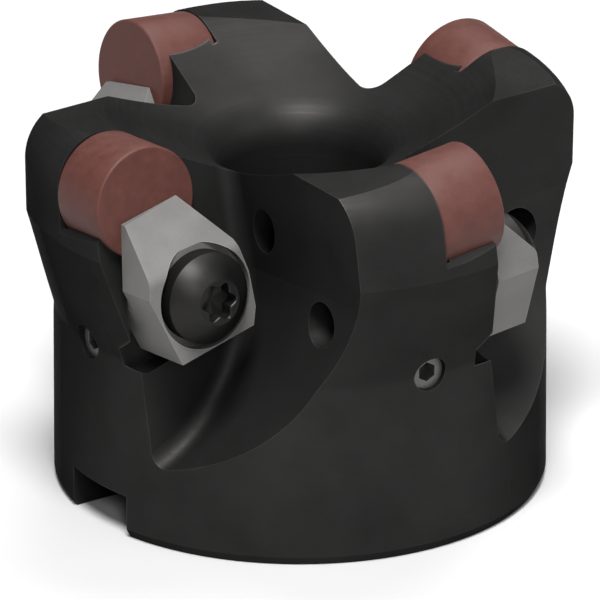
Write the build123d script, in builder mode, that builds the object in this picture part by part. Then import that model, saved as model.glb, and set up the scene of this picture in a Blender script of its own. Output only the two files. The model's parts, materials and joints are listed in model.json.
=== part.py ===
"""Face mill: a shell-type milling head with four round ceramic inserts held by top clamps.

The hub face lies on Z = 0 and the cutting end is up. Tooth 1 points along +X, and the
others follow every 90 degrees. Each tooth has a seat plane that lies on its insert's
cutting face: local x runs inward to the axis, local y up, and local z forward, out of
the face and into the chip gullet.
"""

from build123d import *
import os
from math import cos, radians, sin

os.makedirs("parts", exist_ok=True)

# ---- Driving dimensions, in millimetres and degrees -------------------------------
teeth = 4
axial_rake = 6.0                # the cutting face leans back from vertical

# Cutter body, a turned blank
hub_r = 27.25
hub_top_z = 21.0
crown_r = 30.85                 # the rim that carries the inserts
crown_bottom_z = 33.8
crest_z = 45.3
crest_corner_r = 5.5
dish_top_r = 23.3               # where the dish's cone would meet the crest
dish_bottom_z = 38.15           # where the cone would meet the head bore
dish_crest_round = 5.5
dish_lip_round = 5.0
hub_fillet = 2.5
hub_chamfer_r = 0.5
hub_chamfer_z = 1.0

# Arbor interface for a 22 mm shell-mill arbor
arbor_r = 11.0
arbor_depth = 20.0
arbor_chamfer = 0.8
screw_hole_r = 5.5
head_seat_z = 26.0
head_bore_r = 9.0
keyway_width = 10.4
keyway_depth = 4.9

# Round insert and its pocket
insert_r = 6.35
insert_thickness = 7.94
insert_land = 0.15
face_x = 24.6                   # centre of the cutting face of tooth 1
face_y = 5.95
face_z = 39.8
pocket_gap = 0.06
pocket_back_relief = 0.35       # undercut that clears the insert's back corner
pocket_back_relief_depth = 0.7
lip_relief = [                  # the pocket is open upwards and outwards above a bevelled lip
    (0.0, 0.0), (-5.3, -3.0), (-6.9, -4.6), (-9.0, -4.6), (-9.0, 9.0), (0.0, 9.0),
]

# Chip gullet, on the seat plane
gullet_floor = -1.3             # at the insert's centre
gullet_rake = 8.2               # the floor leans back more than the cutting face
gullet_behind = 1.0             # the tool starts this far behind the floor
gullet_top = 10.0
gullet_wall_x = 12.0
gullet_wall_y = 3.0
gullet_arc_x = -8.3
gullet_arc_y = -10.5
gullet_arc_r = 21.5
gullet_outside_x = -12.0
gullet_reach = 45.0
gullet_fillet = 2.0

# Relief behind the insert, on top of the tooth
relief_start_y = -2.5

# Clamp, on the seat plane
clamp_outline = [
    (-3.4, -1.7), (3.9, 0.0), (8.0, -4.9), (9.4, -8.8), (10.0, -13.0),
    (9.6, -15.1), (0.0, -17.5), (-3.75, -9.3),
]
clamp_bottom = -2.9
clamp_top = 5.4
clamp_gap = 0.05                # below the nose, over the cutting face
heel_gap = 0.15                 # round the heel, which fills the slot
nose_lift = -0.28               # the sloping facet is z = nose_lift + nose_dx x + nose_dy y
nose_dx = 0.115
nose_dy = -0.837
ridge_fillet = 1.6
spotface_z = 4.0
spotface_r = 5.9
clamp_hole_r = 3.0

# Slot in the gullet floor that holds the clamp's heel
slot_outline = [(-2.7, -7.6), (7.6, -5.9), (10.0, -16.6), (-2.7, -20.3)]
slot_floor = -3.1
slot_front = 3.0
slot_corner_r = 2.0
slot_lower_round = 2.0          # between its floor and its lower wall

# Clamp screw, M6 with a button head
screw_x = 3.5
screw_y = -10.4
screw_tip = -13.0
screw_tip_chamfer = 0.5
screw_shank_r = 2.9
screw_core_r = 2.4
tapped_hole_r = 2.5
tapped_hole_length = 30.0
head_r = 5.15
head_height = 4.2
head_rim = 2.05
head_flat_r = 2.6
head_dome_r = 7.0               # radius of curvature between its rim and its flat
recess_r = 1.62
recess_lobe_r = 0.5
recess_lobe_at = 1.75
recess_depth = 1.8

# Retaining ring, which makes the clamp rise with its screw
ring_outer_r = 3.2
ring_inner_r = 2.5
ring_gap = 1.8
ring_z = (-2.5, -1.9)
ring_bore_r = 3.35
ring_bore_top = -1.7
groove_z = (-2.6, -1.8)

# Coolant hole, from the gullet's wall down into the head bore
coolant_r = 2.0
coolant_outlet = (11.9, 10.3, 34.9)
coolant_inlet = (2.5, 8.2, 27.6)
coolant_overshoot = 4.0

# Balance screw, an M4 set screw in the hub
balance_azimuth = -3.0
balance_z = 21.3
balance_mouth_r = 27.3          # radius at which its hole meets the body's outside
balance_recess = 0.7
balance_r = 1.95
balance_length = 6.0
balance_hole_r = 2.0
balance_hole_depth = 8.0
balance_socket_af = 2.0
balance_socket_depth = 2.2

# ---- Worked out from the sizes above -------------------------------------------------
clamp_length = max(y for x, y in clamp_outline) - min(y for x, y in clamp_outline)
ridge_y = (clamp_top - nose_lift - nose_dx * screw_x) / nose_dy

# ---- Planes ------------------------------------------------------------------------
pitch = 360.0 / teeth
tooth_numbers = range(1, teeth + 1)
first_seat = Plane(
    origin=(face_x, face_y, face_z),
    x_dir=(-1, 0, 0),
    z_dir=(0, cos(radians(axial_rake)), sin(radians(axial_rake))),
)
first_screw_plane = Plane(
    origin=first_seat.from_local_coords((screw_x, screw_y, 0)),
    x_dir=first_seat.x_dir,
    z_dir=first_seat.z_dir,
)
slot_lower_left = first_seat.from_local_coords((*slot_outline[3], slot_floor))
slot_lower_right = first_seat.from_local_coords((*slot_outline[2], slot_floor))
slot_lower_run = slot_lower_right - slot_lower_left
first_slot_side_plane = Plane(
    origin=slot_lower_left,
    x_dir=first_seat.z_dir.cross(slot_lower_run),
    z_dir=slot_lower_run,
)
first_gullet_plane = Plane(
    origin=first_seat.from_local_coords((0, 0, gullet_floor)),
    x_dir=first_seat.x_dir,
    z_dir=(0, cos(radians(gullet_rake)), sin(radians(gullet_rake))),
)
first_balance_plane = Plane(
    origin=(
        balance_mouth_r * cos(radians(balance_azimuth)),
        balance_mouth_r * sin(radians(balance_azimuth)),
        balance_z,
    ),
    x_dir=(0, 0, 1),
    z_dir=(cos(radians(balance_azimuth)), sin(radians(balance_azimuth)), 0),
)


def at_tooth(plane, number):
    """Turn a plane of tooth 1 about the cutter's axis to the numbered tooth."""
    turn = Location((0, 0, 0), (0, 0, pitch * (number - 1)))
    return Plane(turn * plane.location)


def finish(part, name):
    """Label a finished piece and write its STEP file."""
    part.label = name
    export_step(part, f"parts/{name}.step")


# ---- Tools that cut one tooth's features out of the blank ---------------------------
with BuildPart() as gullet:
    with BuildSketch(first_seat.offset(gullet_floor - gullet_behind)):
        with BuildLine():
            arc = CenterArc((gullet_arc_x, gullet_arc_y), gullet_arc_r, 0, -90)
            Polyline(
                arc @ 1,
                (gullet_outside_x, gullet_arc_y - gullet_arc_r),
                (gullet_outside_x, gullet_top),
                (gullet_wall_x, gullet_top),
                (gullet_wall_x, gullet_wall_y),
                arc @ 0,
            )
        make_face()
    extrude(amount=gullet_reach)
    split(bisect_by=first_gullet_plane, keep=Keep.TOP)
    floor_face = gullet.faces().sort_by(Axis((0, 0, 0), first_gullet_plane.z_dir))[0]
    fillet(floor_face.edges(), gullet_fillet)

with BuildPart() as pocket:
    pocket_back = -(insert_thickness + pocket_gap)
    with BuildSketch(first_seat.offset(pocket_back)):
        Circle(insert_r + pocket_gap)
    extrude(amount=insert_thickness + pocket_gap + insert_land)
    with BuildSketch(first_seat.offset(pocket_back)):
        Circle(insert_r + pocket_back_relief)
    extrude(amount=pocket_back_relief_depth)
    with BuildSketch(first_seat.offset(pocket_back)):
        with BuildLine():
            Polyline(*lip_relief, close=True)
        make_face()
    extrude(amount=insert_thickness + pocket_gap + insert_land)

with BuildPart() as crest_relief:
    relief_plane = Plane(
        origin=(face_x, relief_start_y, crest_z), x_dir=(1, 0, 0), z_dir=first_seat.y_dir
    )
    with BuildSketch(relief_plane):
        Rectangle(2 * crown_r, crown_r, align=(Align.CENTER, Align.MAX))
    extrude(amount=crest_corner_r)
    keep_plane = Plane.YZ.offset(gullet_wall_x)
    split(bisect_by=keep_plane, keep=Keep.TOP)

with BuildSketch() as slot_shape:
    with BuildLine():
        FilletPolyline(*slot_outline, radius=slot_corner_r, close=True)
    make_face()

with BuildPart() as clamp_slot:
    with BuildSketch(first_seat.offset(slot_floor)):
        add(slot_shape.sketch)
    extrude(amount=slot_front - slot_floor)
    with BuildSketch(first_slot_side_plane):
        with BuildLine():
            FilletPolyline(
                (0, 0),
                (clamp_length, 0),
                (clamp_length, clamp_length),
                (0, clamp_length),
                radius=[slot_lower_round, 0, 0, 0],
                close=True,
            )
        make_face()
    extrude(amount=clamp_length, both=True, mode=Mode.INTERSECT)

with BuildPart() as tapped_hole:
    with BuildSketch(first_screw_plane):
        Circle(tapped_hole_r)
    extrude(amount=-tapped_hole_length)

with BuildPart() as coolant_hole:
    coolant_run = Vector(*coolant_outlet) - Vector(*coolant_inlet)
    with BuildSketch(Plane(origin=coolant_inlet, z_dir=coolant_run)):
        Circle(coolant_r)
    extrude(amount=coolant_run.length + coolant_overshoot)

with BuildPart() as balance_hole:
    with BuildSketch(first_balance_plane.offset(balance_hole_r)):
        Circle(balance_hole_r)
    extrude(amount=-balance_hole_depth - balance_hole_r)

# ---- Cutter body --------------------------------------------------------------------
with BuildPart() as cutter_body:
    with BuildSketch(Plane.XZ):
        with BuildLine():
            FilletPolyline(
                (arbor_r + arbor_chamfer, 0),
                (hub_r - hub_chamfer_r, 0),
                (hub_r, hub_chamfer_z),
                (hub_r, hub_top_z),
                (crown_r, crown_bottom_z),
                (crown_r, crest_z),
                (dish_top_r, crest_z),
                (head_bore_r, dish_bottom_z),
                (head_bore_r, head_seat_z),
                (screw_hole_r, head_seat_z),
                (screw_hole_r, arbor_depth),
                (arbor_r, arbor_depth),
                (arbor_r, arbor_chamfer),
                radius=[
                    0, 0, 0, hub_fillet, 0, crest_corner_r, dish_crest_round,
                    dish_lip_round, 0, 0, 0, 0, 0,
                ],
                close=True,
            )
        make_face()
    revolve(axis=Axis.Z)
    with BuildSketch(Plane.XY):
        Rectangle(2 * crown_r, keyway_width)
    extrude(amount=keyway_depth, mode=Mode.SUBTRACT)
    with PolarLocations(0, teeth):
        add(gullet.part, mode=Mode.SUBTRACT)
    with PolarLocations(0, teeth):
        add(crest_relief.part, mode=Mode.SUBTRACT)
        add(pocket.part, mode=Mode.SUBTRACT)
        add(clamp_slot.part, mode=Mode.SUBTRACT)
        add(tapped_hole.part, mode=Mode.SUBTRACT)
        add(coolant_hole.part, mode=Mode.SUBTRACT)
        add(balance_hole.part, mode=Mode.SUBTRACT)
finish(cutter_body.part, "cutter_body")


# ---- Pieces of each tooth -------------------------------------------------------------
def make_insert(number):
    """Round insert, a plain disc with a narrow land round both faces."""
    seat = at_tooth(first_seat, number)
    with BuildPart() as insert:
        with BuildSketch(seat):
            Circle(insert_r)
        extrude(amount=-insert_thickness)
        chamfer(insert.edges().filter_by(GeomType.CIRCLE), insert_land)
    finish(insert.part, f"insert_{number}")


def make_clamp(number):
    """Top clamp: a heel in the slot, and a nose with a sloping facet over the insert."""
    seat = at_tooth(first_seat, number)
    screw_plane = at_tooth(first_screw_plane, number)
    facet_plane = Plane(
        origin=seat.from_local_coords((0, 0, nose_lift)),
        x_dir=seat.from_local_coords((1, 0, nose_dx)) - seat.origin,
        z_dir=seat.from_local_coords((-nose_dx, -nose_dy, 1)) - seat.origin,
    )
    with BuildPart() as clamp:
        # Upper part with the nose, then the sloping facet that guides the chip over it
        with BuildSketch(seat.offset(clamp_gap)):
            with BuildLine():
                Polyline(*clamp_outline, close=True)
            make_face()
        extrude(amount=clamp_top - clamp_gap)
        with BuildSketch(facet_plane):
            Rectangle(2 * clamp_length, 2 * clamp_length)
        extrude(amount=clamp_length, mode=Mode.SUBTRACT)
        ridge = clamp.edges().sort_by_distance(
            seat.from_local_coords((screw_x, ridge_y, clamp_top))
        )[0]
        fillet(ridge, ridge_fillet)
        # Heel
        with BuildSketch(seat.offset(clamp_bottom)):
            with BuildLine():
                Polyline(*clamp_outline, close=True)
            make_face()
            offset(slot_shape.sketch, amount=-heel_gap, mode=Mode.INTERSECT)
        extrude(amount=clamp_gap - clamp_bottom)
        # Spotface, screw clearance hole, and the retaining ring's counterbore
        with BuildSketch(screw_plane.offset(spotface_z)):
            Circle(spotface_r)
        extrude(amount=clamp_length, mode=Mode.SUBTRACT)
        with BuildSketch(screw_plane.offset(clamp_bottom)):
            Circle(clamp_hole_r)
        extrude(amount=clamp_top - clamp_bottom, mode=Mode.SUBTRACT)
        with BuildSketch(screw_plane.offset(clamp_bottom)):
            Circle(ring_bore_r)
        extrude(amount=ring_bore_top - clamp_bottom, mode=Mode.SUBTRACT)
    finish(clamp.part, f"clamp_{number}")


def make_clamp_screw(number):
    """Button-head screw with a six-lobe recess and a groove for the retaining ring."""
    screw_plane = at_tooth(first_screw_plane, number)
    profile_plane = Plane(
        origin=screw_plane.origin, x_dir=screw_plane.x_dir, z_dir=-screw_plane.y_dir
    )
    crown_z = spotface_z + head_height
    with BuildPart() as screw:
        with BuildSketch(profile_plane):
            with BuildLine():
                dome = RadiusArc(
                    (head_r, spotface_z + head_rim), (head_flat_r, crown_z), -head_dome_r
                )
                Polyline(
                    dome @ 1,
                    (0, crown_z),
                    (0, screw_tip),
                    (screw_core_r - screw_tip_chamfer, screw_tip),
                    (screw_core_r, screw_tip + screw_tip_chamfer),
                    (screw_core_r, clamp_bottom),
                    (screw_shank_r, groove_z[0]),
                    (screw_core_r, groove_z[0]),
                    (screw_core_r, groove_z[1]),
                    (screw_shank_r, groove_z[1]),
                    (screw_shank_r, spotface_z),
                    (head_r, spotface_z),
                    dome @ 0,
                )
            make_face()
        revolve(axis=Axis(screw_plane.origin, screw_plane.z_dir))
        with BuildSketch(screw_plane.offset(crown_z)):
            Circle(recess_r)
            with PolarLocations(recess_lobe_at, 6):
                Circle(recess_lobe_r)
        extrude(amount=-recess_depth, mode=Mode.SUBTRACT)
    finish(screw.part, f"clamp_screw_{number}")


def make_retaining_ring(number):
    """Open snap ring in the screw's groove, inside the clamp's counterbore."""
    screw_plane = at_tooth(first_screw_plane, number)
    with BuildPart() as ring:
        with BuildSketch(screw_plane.offset(ring_z[0])):
            Circle(ring_outer_r)
            Circle(ring_inner_r, mode=Mode.SUBTRACT)
            with Locations((0, -ring_outer_r)):
                Rectangle(ring_gap, 2 * ring_outer_r, mode=Mode.SUBTRACT)
        extrude(amount=ring_z[1] - ring_z[0])
    finish(ring.part, f"retaining_ring_{number}")


def make_balance_screw(number):
    """Set screw with a hexagon socket, sunk a little below the hub's surface."""
    mouth = at_tooth(first_balance_plane, number).offset(-balance_recess)
    with BuildPart() as balance_screw:
        with BuildSketch(mouth):
            Circle(balance_r)
        extrude(amount=-balance_length)
        with BuildSketch(mouth):
            RegularPolygon(balance_socket_af / 2, 6, major_radius=False)
        extrude(amount=-balance_socket_depth, mode=Mode.SUBTRACT)
    finish(balance_screw.part, f"balance_screw_{number}")


for tooth in tooth_numbers:
    make_insert(tooth)
    make_clamp(tooth)
    make_clamp_screw(tooth)
    make_retaining_ring(tooth)
    make_balance_screw(tooth)
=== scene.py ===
"""Looks of the face mill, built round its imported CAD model.

The CAD nodes keep their shapes and get materials here. The inserts and the clamp screws
are turned again as finer meshes, on the axes that the joints state, and the screws get
their threads. Lengths are in metres, apart from the turned profiles, in millimetres.
"""

import json
import math

import bpy
from mathutils import Matrix, Vector


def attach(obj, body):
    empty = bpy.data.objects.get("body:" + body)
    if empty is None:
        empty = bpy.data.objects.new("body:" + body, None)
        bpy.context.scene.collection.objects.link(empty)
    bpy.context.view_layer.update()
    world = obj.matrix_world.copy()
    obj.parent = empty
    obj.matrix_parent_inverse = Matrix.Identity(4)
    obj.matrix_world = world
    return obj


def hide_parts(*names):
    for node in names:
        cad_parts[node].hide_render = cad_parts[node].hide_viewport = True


MM = 0.001
TURN = 2 * math.pi
TEETH = range(1, 5)
CREASE_ANGLE = 24.0                        # degrees; a sharper edge isn't shaded smooth

# The insert's profile, in millimetres. Its face is at z 0 and its base at -INSERT_DEEP.
INSERT_R = 6.35
INSERT_DEEP = 7.94
INSERT_SEGMENTS = 128
LAND = 0.15                                # width of the chamfer ground on both edges
LAND_CORNER = 0.02                         # how far the land's two corners are eased
LAND_INNER = 0.04                          # from the land's corner to the open face
LAND_OUTER = 0.05                          # from the land's corner to the open side
FACE_LOOP_R = 3.0                          # an extra ring on the face
SIDE_LOOP = 2.5                            # an extra ring on the side, from each end

# The clamp screw's profile, in millimetres. z is 0 at the joint's position.
HEAD_TOP = 8.2
HEAD_R = 5.15
HEAD_FLAT_R = 2.6
FLAT_LOOP = 0.05                           # an extra ring just inside the flat's edge
DOME_R = 7.0
DOME_STEPS = 12
RIM_Z = 6.05                               # where the dome meets the upright rim
SEAT_Z = 4.0                               # the head's underside, on the clamp
SEAT_CHAMFER = 0.12
RECESS_R = 1.94
LOBE_DEPTH = 0.31
RECESS_POINT_Z = 6.35
RECESS_LOOPS = [(6.45, -0.9), (6.6, -0.06), (8.08, 0.0), (HEAD_TOP, 0.12)]    # z, growth
SHANK_R = 2.9
GROOVE_R = 2.4
GROOVE_HIGH, GROOVE_LOW = -1.8, -2.6
COLLAR_LOW = -2.9                          # the collar below the groove tapers to here
THREAD_HIGH = -3.0
THREAD_LENGTH = 9.5
THREAD_PITCH = 1.0
THREAD_ROOT_R, THREAD_CREST_R = 2.2, 2.4   # inside the plain 5 mm hole, so less than M6
THREAD_SLICES = 100
TIP_Z = -13.0
TIP_R = 1.9
TIP_CHAMFER = 0.1
SCREW_SEGMENTS = 96

# Picture: angles in degrees, lengths in metres, lens and sensor in millimetres.
VIEW_AZIMUTH = -34.5
VIEW_ELEVATION = 23.3
FRAME_WIDTH = 66.3 * MM
AIM_HEIGHT = 20.1 * MM
LENS = 1500.0
SENSOR = 36.0
CLIP_NEAR, CLIP_FAR = 0.5, 2.0             # times the camera's distance
FLOOR_HALF = 3.0
SKY_STRENGTH = 0.15
LAMPS = [                # name, azimuth from the camera's, elevation, distance, size, watts
    ("key", -4, 66, 1.2, 0.45, 25.0),
    ("top", 160, 62, 1.4, 0.8, 12.0),
    ("side", 66, 28, 1.4, 0.9, 4.5),
    ("front", 5, 28, 1.4, 0.3, 5.0),
]

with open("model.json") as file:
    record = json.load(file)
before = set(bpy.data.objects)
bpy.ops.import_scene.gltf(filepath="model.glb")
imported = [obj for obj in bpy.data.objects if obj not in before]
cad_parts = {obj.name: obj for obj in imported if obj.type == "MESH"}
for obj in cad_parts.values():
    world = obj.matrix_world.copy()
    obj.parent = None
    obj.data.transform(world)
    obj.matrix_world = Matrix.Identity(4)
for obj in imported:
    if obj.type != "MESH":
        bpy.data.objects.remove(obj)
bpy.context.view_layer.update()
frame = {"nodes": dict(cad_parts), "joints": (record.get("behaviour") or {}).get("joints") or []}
joints = {joint["name"]: joint for joint in frame["joints"]}
middle = Vector((0, 0, AIM_HEIGHT))


# ---- Node helpers -------------------------------------------------------------------
class Shader:
    """A material's node tree, with short ways to add and link nodes."""

    def __init__(self, name):
        self.material = bpy.data.materials.new(name)
        self.material.use_nodes = True
        self.tree = self.material.node_tree
        self.principled = self.tree.nodes["Principled BSDF"]

    def node(self, kind, inputs=None, **settings):
        """Add a node, set its properties, and set or link its inputs."""
        made = self.tree.nodes.new(kind)
        for key, value in settings.items():
            setattr(made, key, value)
        for key, value in (inputs or {}).items():
            self.feed(made.inputs[key], value)
        return made

    def feed(self, socket, value):
        """Link an output to the socket, or give the socket a constant."""
        if isinstance(value, bpy.types.NodeSocket):
            self.tree.links.new(value, socket)
        else:
            socket.default_value = value

    def surface(self, **inputs):
        """Set the shader's own sockets, named with underscores for spaces."""
        for key, value in inputs.items():
            self.feed(self.principled.inputs[key.replace("_", " ")], value)

    def math(self, operation, first, second=0.0):
        """Join two values; an operation on one value leaves the second aside."""
        inputs = {0: first, 1: second}
        return self.node("ShaderNodeMath", inputs, operation=operation).outputs[0]

    def noise(self, vector, scale, detail=3.0, roughness=0.5):
        inputs = {"Vector": vector, "Scale": scale, "Detail": detail, "Roughness": roughness}
        return self.node("ShaderNodeTexNoise", inputs).outputs["Fac"]

    def ramp(self, factor, source, target=(0.0, 1.0)):
        """Map the source range of a factor to the target range, held at both ends."""
        inputs = {0: factor, 1: source[0], 2: source[1], 3: target[0], 4: target[1]}
        return self.node("ShaderNodeMapRange", inputs).outputs[0]

    def blend(self, factor, first, second):
        """Mix two colours."""
        made = self.node("ShaderNodeMix", data_type="RGBA")
        self.feed(made.inputs["Factor"], factor)
        self.feed(made.inputs["A"], first)
        self.feed(made.inputs["B"], second)
        return made.outputs["Result"]

    def place(self):
        return self.node("ShaderNodeTexCoord").outputs["Object"]

    def rings(self, vector, across, along):
        """Noise that is the same all round the Z axis, like the marks of a lathe tool."""
        x, y, z = self.node("ShaderNodeSeparateXYZ", {0: vector}).outputs
        squares = self.math("ADD", self.math("MULTIPLY", x, x), self.math("MULTIPLY", y, y))
        radius = self.math("SQRT", squares)
        turned_place = self.node("ShaderNodeCombineXYZ", {
            0: self.math("MULTIPLY", radius, across),
            1: self.math("MULTIPLY", z, along),
        }).outputs[0]
        return self.noise(turned_place, scale=1.0, detail=4.0, roughness=0.6)

    def edges(self, radius):
        """1 on edges and 0 on open faces, from how a rounded normal leaves the true one."""
        rounded = self.node("ShaderNodeBevel", {"Radius": radius}, samples=6).outputs[0]
        true_normal = self.node("ShaderNodeNewGeometry").outputs["Normal"]
        level = self.node("ShaderNodeVectorMath", {0: rounded, 1: true_normal},
                          operation="DOT_PRODUCT").outputs["Value"]
        return self.ramp(level, (0.80, 0.995), (1.0, 0.0))

    def bump(self, height, strength, distance, normal=None):
        """A bumped normal, on top of another one if that is given."""
        inputs = {"Height": height, "Strength": strength, "Distance": distance}
        if normal is not None:
            inputs["Normal"] = normal
        return self.node("ShaderNodeBump", inputs).outputs[0]


def colour(red, green, blue):
    return (red, green, blue, 1.0)


# ---- Materials ----------------------------------------------------------------------
EDGE_TINT = colour(0.25, 0.25, 0.25)       # dark steel hardly brightens at grazing angles


def black_oxide():
    """Turned and milled steel, blackened: lathe rings, fine grain, and edges lightened partly
    for wear and partly as a painted highlight.
    """
    shader = Shader("black_oxide")
    place = shader.place()
    cloud = shader.noise(place, scale=90.0, detail=5.0, roughness=0.6)
    grain = shader.noise(place, scale=5200.0, detail=2.0, roughness=0.6)
    rings = shader.rings(place, across=2600.0, along=3600.0)
    edges = shader.edges(0.22 * MM)
    # Edge mask in patches: partly worn edges, partly a painted highlight along the edges.
    worn_edge_and_painted_highlight = shader.math("MULTIPLY", edges, shader.ramp(cloud, (0.35, 0.65), (0.15, 0.8)))
    base = shader.blend(shader.ramp(cloud, (0.3, 0.7)),
                        colour(0.0200, 0.0195, 0.0191), colour(0.0290, 0.0283, 0.0277))
    base = shader.blend(shader.ramp(grain, (0.55, 0.75), (0.0, 0.35)), base,
                        colour(0.036, 0.035, 0.034))
    # Lighter edge colour: wear and painted highlight.
    base = shader.blend(worn_edge_and_painted_highlight, base, colour(0.075, 0.073, 0.071))
    roughness = shader.ramp(rings, (0.3, 0.7), (0.46, 0.58))
    roughness = shader.math("SUBTRACT", roughness, shader.math("MULTIPLY", worn_edge_and_painted_highlight, 0.08))
    normal = shader.bump(rings, strength=0.16, distance=0.02 * MM)
    normal = shader.bump(grain, strength=0.10, distance=0.012 * MM, normal=normal)
    shader.surface(Base_Color=base, Roughness=roughness, Normal=normal, Metallic=0.7,
                   Specular_IOR_Level=0.0, Specular_Tint=EDGE_TINT)
    return shader.material


def ceramic():
    """Ground ceramic: matt red-brown with fine mottling, pores and pale grains."""
    shader = Shader("ceramic")
    place = shader.place()
    mottle = shader.noise(place, scale=700.0, detail=5.0, roughness=0.65)
    cloud = shader.noise(place, scale=120.0, detail=3.0, roughness=0.5)
    grain = shader.noise(place, scale=9000.0, detail=2.0, roughness=0.6)
    edges = shader.edges(0.12 * MM)
    base = shader.blend(shader.ramp(mottle, (0.3, 0.7)),
                        colour(0.062, 0.0200, 0.0155), colour(0.088, 0.0300, 0.0240))
    base = shader.blend(shader.ramp(cloud, (0.35, 0.7), (0.0, 0.35)), base,
                        colour(0.056, 0.0190, 0.0150))
    base = shader.blend(shader.ramp(grain, (0.66, 0.74), (0.0, 0.5)), base,
                        colour(0.19, 0.095, 0.080))
    base = shader.blend(shader.ramp(grain, (0.26, 0.34), (0.45, 0.0)), base,
                        colour(0.030, 0.011, 0.009))
    base = shader.blend(shader.math("MULTIPLY", edges, 0.35), base,
                        colour(0.16, 0.070, 0.058))
    roughness = shader.ramp(mottle, (0.3, 0.7), (0.50, 0.62))
    normal = shader.bump(mottle, strength=0.12, distance=0.02 * MM)
    normal = shader.bump(grain, strength=0.15, distance=0.012 * MM, normal=normal)
    shader.surface(Base_Color=base, Roughness=roughness, Normal=normal, Metallic=0.0,
                   Specular_IOR_Level=0.25)
    return shader.material


def steel(name, dark, light, roughness, metallic):
    """Satin steel: blasted grain with painted glints, faint clouding, and edges lightened partly
    for wear and partly as a painted highlight.
    """
    shader = Shader(name)
    place = shader.place()
    cloud = shader.noise(place, scale=180.0, detail=4.0, roughness=0.6)
    grain = shader.noise(place, scale=6500.0, detail=3.0, roughness=0.6)
    edges = shader.edges(0.15 * MM)
    # A lighter colour for painted glints on the grain, and for the edges: partly wear, partly
    # painted highlight.
    painted_glint_and_worn_edge = colour(*[min(1.0, 1.6 * part) for part in light[:3]])
    base = shader.blend(shader.ramp(cloud, (0.3, 0.7)), dark, light)
    # Painted glints on the grain.
    base = shader.blend(shader.ramp(grain, (0.6, 0.8), (0.0, 0.6)), base, painted_glint_and_worn_edge)
    # Lighter edges: wear and painted highlight.
    base = shader.blend(shader.math("MULTIPLY", edges, 0.6), base, painted_glint_and_worn_edge)
    clouded = shader.ramp(cloud, (0.3, 0.7), (roughness - 0.04, roughness + 0.05))
    normal = shader.bump(grain, strength=0.14, distance=0.012 * MM)
    shader.surface(Base_Color=base, Roughness=clouded, Normal=normal, Metallic=metallic,
                   Specular_IOR_Level=0.3, Specular_Tint=EDGE_TINT)
    return shader.material


def paper_floor():
    """Plain pale studio floor with a barely visible grain."""
    shader = Shader("studio_floor")
    grain = shader.noise(shader.place(), scale=40.0, detail=3.0, roughness=0.5)
    base = shader.blend(shader.ramp(grain, (0.3, 0.7)),
                        colour(0.485, 0.485, 0.485), colour(0.495, 0.495, 0.495))
    shader.surface(Base_Color=base, Roughness=0.9, Specular_IOR_Level=0.0)
    return shader.material


body_finish = black_oxide()
insert_finish = ceramic()
clamp_finish = steel("clamp_steel", colour(0.118, 0.116, 0.113),
                     colour(0.146, 0.143, 0.139), roughness=0.46, metallic=0.15)
screw_finish = steel("screw_steel", colour(0.021, 0.0205, 0.020),
                     colour(0.030, 0.029, 0.028), roughness=0.46, metallic=0.85)
set_screw_finish = steel("set_screw_steel", colour(0.100, 0.098, 0.095),
                         colour(0.140, 0.137, 0.133), roughness=0.36, metallic=0.6)
ring_finish = steel("spring_steel", colour(0.25, 0.25, 0.26),
                    colour(0.32, 0.32, 0.33), roughness=0.35, metallic=0.9)


# ---- Meshes -------------------------------------------------------------------------
def joint_place(name):
    """A joint's local frame: z along its axis, y upward, and x inward to the cutter."""
    joint = joints[name]
    forward = Vector(joint["axis"]).normalized()
    up = (Vector((0, 0, 1)) - forward * forward.z).normalized()
    place = Matrix((up.cross(forward), up, forward)).transposed().to_4x4()
    place.translation = joint["pos_m"]
    return place


def piece(name, points, faces, place, finish):
    """A smooth-shaded mesh object with creases, from points in millimetres."""
    mesh = bpy.data.meshes.new(name)
    mesh.from_pydata([place @ (Vector(point) * MM) for point in points], [], faces)
    mesh.validate()
    mesh.polygons.foreach_set("use_smooth", [True] * len(mesh.polygons))
    mesh.set_sharp_from_angle(angle=math.radians(CREASE_ANGLE))
    mesh.materials.append(finish)
    made = bpy.data.objects.new(name, mesh)
    bpy.context.scene.collection.objects.link(made)
    return made


def turned(name, rings, place, finish, segments):
    """A closed body of rings about local z. A ring is (z, radius) in millimetres.

    A radius is a number or a function of the angle. The first and the last ring have
    radius 0, and become the poles.
    """
    points = []
    faces = []
    for z, radius in rings[1:-1]:
        for step in range(segments):
            angle = TURN * step / segments
            r = radius(angle) if callable(radius) else radius
            points.append((r * math.cos(angle), r * math.sin(angle), z))
    for row in range(len(rings) - 3):
        for step in range(segments):
            after = (step + 1) % segments
            low, high = row * segments, (row + 1) * segments
            faces.append((low + step, low + after, high + after, high + step))
    last = (len(rings) - 3) * segments
    first_pole, last_pole = len(points), len(points) + 1
    points += [(0, 0, rings[0][0]), (0, 0, rings[-1][0])]
    for step in range(segments):
        after = (step + 1) % segments
        faces.append((first_pole, after, step))
        faces.append((last_pole, last + step, last + after))
    return piece(name, points, faces, place, finish)


def stand_for(made, node):
    """A finer piece rides on the body named like the node, and is shown in its place."""
    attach(made, node)
    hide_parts(node)


def make_insert(number):
    """Round insert: a ground disc with a narrow land and a hairline round on its edges."""
    front = [
        (0.0, 0.0), (0.0, FACE_LOOP_R), (0.0, INSERT_R - LAND - LAND_INNER),
        (-LAND_CORNER, INSERT_R - LAND), (-LAND, INSERT_R - LAND_CORNER),
        (-LAND - LAND_OUTER, INSERT_R), (-SIDE_LOOP, INSERT_R),
    ]
    back = [(-INSERT_DEEP - z, r) for z, r in reversed(front)]
    made = turned(f"round_insert_{number}", front + back,
                  joint_place(f"insert_{number}_index"), insert_finish, INSERT_SEGMENTS)
    stand_for(made, f"insert_{number}")


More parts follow.
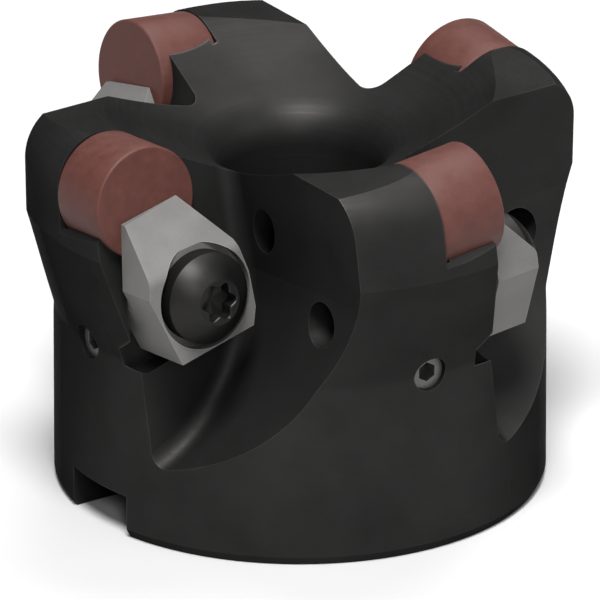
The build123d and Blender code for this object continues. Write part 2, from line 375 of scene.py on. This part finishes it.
def arc(start, end, radius, steps):
    """Points (z, r) along a convex arc from one (z, r) to another, ends included."""
    (z0, r0), (z1, r1) = start, end
    halfway = Vector(((z0 + z1) / 2, (r0 + r1) / 2))
    along = Vector((z1 - z0, r1 - r0))
    side = Vector((along.y, -along.x)).normalized()
    depth = math.sqrt(radius ** 2 - (along.length / 2) ** 2)
    centre = min(halfway - side * depth, halfway + side * depth, key=lambda point: point.y)
    first = math.atan2(r0 - centre.y, z0 - centre.x)
    last = math.atan2(r1 - centre.y, z1 - centre.x)
    angles = [first + (last - first) * step / steps for step in range(steps + 1)]
    return [(centre.x + radius * math.cos(a), centre.y + radius * math.sin(a))
            for a in angles]


def six_lobes(grow):
    """Radius of the six-lobe recess as a function of the angle, grown by a margin."""
    return lambda angle: RECESS_R + grow + LOBE_DEPTH * math.cos(6 * angle)


def thread_radius(z):
    """Radius of the right-hand thread at height z, as a function of the angle."""
    def at(angle):
        phase = (z / THREAD_PITCH - angle / TURN) % 1.0
        return THREAD_ROOT_R + (THREAD_CREST_R - THREAD_ROOT_R) * abs(2 * phase - 1)
    return at


def make_clamp_screw(number):
    """Button-head screw: recess, dome, rim, chamfer under the head, groove and thread."""
    recess = [(RECESS_POINT_Z, 0.0)] + [(z, six_lobes(grow)) for z, grow in RECESS_LOOPS]
    flat = [(HEAD_TOP, HEAD_FLAT_R - FLAT_LOOP)]
    dome = arc((HEAD_TOP, HEAD_FLAT_R), (RIM_Z, HEAD_R), DOME_R, DOME_STEPS)
    under = [(SEAT_Z + SEAT_CHAMFER, HEAD_R), (SEAT_Z, HEAD_R - SEAT_CHAMFER),
             (SEAT_Z, SHANK_R)]
    groove = [(GROOVE_HIGH, SHANK_R), (GROOVE_HIGH, GROOVE_R), (GROOVE_LOW, GROOVE_R),
              (GROOVE_LOW, SHANK_R), (COLLAR_LOW, GROOVE_R)]
    heights = [THREAD_HIGH - THREAD_LENGTH * step / THREAD_SLICES
               for step in range(THREAD_SLICES + 1)]
    thread = [(z, thread_radius(z)) for z in heights]
    tip = [(TIP_Z + TIP_CHAMFER, TIP_R + TIP_CHAMFER), (TIP_Z, TIP_R), (TIP_Z, 0.0)]
    rings = recess + flat + dome + under + groove + thread + tip
    made = turned(f"button_screw_{number}", rings[::-1],
                  joint_place(f"clamp_screw_{number}_turn"), screw_finish, SCREW_SEGMENTS)
    stand_for(made, f"clamp_screw_{number}")


for tooth in TEETH:
    make_insert(tooth)
    make_clamp_screw(tooth)


# ---- CAD nodes that keep their shapes -------------------------------------------------
def finish_node(name, finish):
    """Give a CAD node its material."""
    node = frame["nodes"][name]
    node.data.materials.clear()
    node.data.materials.append(finish)


finish_node("cutter_body", body_finish)
for tooth in TEETH:
    finish_node(f"clamp_{tooth}", clamp_finish)
    finish_node(f"retaining_ring_{tooth}", ring_finish)
    finish_node(f"balance_screw_{tooth}", set_screw_finish)


# ---- Floor, light and camera ----------------------------------------------------------
def make_floor():
    mesh = bpy.data.meshes.new("floor")
    corners = [(x * FLOOR_HALF, y * FLOOR_HALF, 0)
               for x, y in ((-1, -1), (1, -1), (1, 1), (-1, 1))]
    mesh.from_pydata(corners, [], [(0, 1, 2, 3)])
    mesh.materials.append(paper_floor())
    floor = bpy.data.objects.new("floor", mesh)
    bpy.context.scene.collection.objects.link(floor)


def direction(azimuth, elevation):
    """Unit vector towards a viewer. Azimuth 0 is at -Y, and 90 is at +X."""
    a, e = math.radians(azimuth), math.radians(elevation)
    return Vector((math.sin(a) * math.cos(e), -math.cos(a) * math.cos(e), math.sin(e)))


def aim(thing, azimuth, elevation, distance):
    """Put a lamp or the camera at a distance from the middle, looking at it."""
    back = direction(azimuth, elevation)
    thing.rotation_mode = "QUATERNION"
    thing.location = middle + back * distance
    thing.rotation_quaternion = (-back).to_track_quat("-Z", "Y")
    bpy.context.scene.collection.objects.link(thing)


def make_lamp(name, azimuth, elevation, distance, size, power):
    lamp = bpy.data.lights.new(name, "AREA")
    lamp.shape = "DISK"
    lamp.size = size
    lamp.energy = power
    aim(bpy.data.objects.new(name, lamp), VIEW_AZIMUTH + azimuth, elevation, distance)


def make_sky():
    world = bpy.data.worlds.new("studio")
    world.use_nodes = True
    sky = world.node_tree.nodes["Background"]
    sky.inputs["Color"].default_value = colour(0.95, 0.96, 1.0)
    sky.inputs["Strength"].default_value = SKY_STRENGTH
    bpy.context.scene.world = world
    bpy.context.scene.view_settings.view_transform = "Standard"


def make_camera():
    """A very long lens, since the photograph shows hardly any perspective."""
    distance = FRAME_WIDTH / SENSOR * LENS
    optics = bpy.data.cameras.new("camera")
    optics.sensor_width = SENSOR
    optics.lens = LENS
    optics.clip_start = distance * CLIP_NEAR
    optics.clip_end = distance * CLIP_FAR
    camera = bpy.data.objects.new("camera", optics)
    aim(camera, VIEW_AZIMUTH, VIEW_ELEVATION, distance)
    bpy.context.scene.camera = camera


make_floor()
for lamp_facts in LAMPS:
    make_lamp(*lamp_facts)
make_sky()
make_camera()
